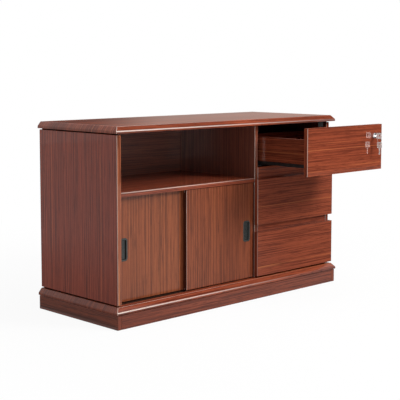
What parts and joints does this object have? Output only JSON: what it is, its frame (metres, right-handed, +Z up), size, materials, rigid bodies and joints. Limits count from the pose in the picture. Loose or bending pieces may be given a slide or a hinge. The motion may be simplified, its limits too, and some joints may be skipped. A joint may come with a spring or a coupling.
{
  "type": "office side cabinet",
  "caption": "Low side cabinet with moulded top and base, an open niche over sliding doors with flush pulls, and a stack of overlay drawers, the top one locking with a key.",
  "frame": {"origin": "on the floor, under the middle of the plinth's footprint", "axes": "+X to the right along the front, +Y to the back, +Z up; the drawers and doors face -Y"},
  "size_m": [1.208, 0.7475, 0.712],
  "materials": {
    "veneer": "red-brown straight-grained veneer under glossy lacquer",
    "steel": "zinc plated",
    "chrome": "polished",
    "key_nickel": "nickel plated, satin",
    "pull_black": "satin black",
    "track_plastic": "dark brown, satin"
  },
  "bodies": {
    "carcass": {"plinth_left": "veneer", "plinth_right": "veneer", "plinth_front": "veneer", "plinth_back": "veneer", "plinth_stretcher": "veneer", "base_board": "veneer", "top_board": "veneer", "left_side_panel": "veneer", "right_side_panel": "veneer", "centre_divider": "veneer", "back_panel": "veneer", "shelf_board": "veneer", "drawer_rail_lower": "veneer", "drawer_rail_upper": "veneer", "door_track_lower": "track_plastic", "door_track_upper": "track_plastic", "lock_strike": "steel", "drawer_bottom_left_runner": "steel", "drawer_bottom_right_runner": "steel", "drawer_middle_left_runner": "steel", "drawer_middle_right_runner": "steel", "drawer_top_left_runner": "steel", "drawer_top_right_runner": "steel"},
    "door_left": {"door_left_panel": "veneer", "door_left_pull": "pull_black", "door_left_runner_strip": "track_plastic", "door_left_guide_strip": "track_plastic"},
    "door_right": {"door_right_panel": "veneer", "door_right_pull": "pull_black", "door_right_runner_strip": "track_plastic", "door_right_guide_strip": "track_plastic"},
    "drawer_bottom": {"drawer_bottom_front": "veneer", "drawer_bottom_left_side": "veneer", "drawer_bottom_right_side": "veneer", "drawer_bottom_back": "veneer", "drawer_bottom_floor": "veneer", "drawer_bottom_left_slider": "steel", "drawer_bottom_right_slider": "steel"},
    "drawer_middle": {"drawer_middle_front": "veneer", "drawer_middle_left_side": "veneer", "drawer_middle_right_side": "veneer", "drawer_middle_back": "veneer", "drawer_middle_floor": "veneer", "drawer_middle_left_slider": "steel", "drawer_middle_right_slider": "steel"},
    "drawer_top": {"drawer_top_front": "veneer", "drawer_top_left_side": "veneer", "drawer_top_right_side": "veneer", "drawer_top_back": "veneer", "drawer_top_floor": "veneer", "drawer_top_left_slider": "steel", "drawer_top_right_slider": "steel", "lock_housing": "chrome"},
    "lock_core": {"lock_plug": "chrome", "lock_cam": "steel", "key": "key_nickel"},
    "spare_keys": {"key_ring": "key_nickel", "spare_key": "key_nickel"}
  },
  "joints": [
    {"name": "door_left_slide", "type": "slide", "parent": "carcass", "child": "door_left", "axis": [1, 0, 0], "range_m": [0, 0.328]},
    {"name": "door_right_slide", "type": "slide", "parent": "carcass", "child": "door_right", "axis": [-1, 0, 0], "range_m": [0, 0.328]},
    {"name": "drawer_top_slide", "type": "slide", "parent": "carcass", "child": "drawer_top", "axis": [0, -1, 0], "range_m": [-0.252, 0.078]},
    {"name": "drawer_middle_slide", "type": "slide", "parent": "carcass", "child": "drawer_middle", "axis": [0, -1, 0], "range_m": [0, 0.33]},
    {"name": "drawer_bottom_slide", "type": "slide", "parent": "carcass", "child": "drawer_bottom", "axis": [0, -1, 0], "range_m": [0, 0.33]},
    {"name": "lock_turn", "type": "hinge", "parent": "drawer_top", "child": "lock_core", "pos_m": [0.5385, -0.4745, 0.64], "axis": [0, 1, 0], "range_deg": [0, 90]},
    {"name": "spare_key_hang", "type": "hinge", "parent": "lock_core", "child": "spare_keys", "pos_m": [0.5385, -0.5035, 0.631], "axis": [0, 1, 0], "range_deg": [-90, 0]}
  ],
  "couplings": [
    {"joint": "spare_key_hang", "follows": "lock_turn", "ratio": -1}
  ]
}
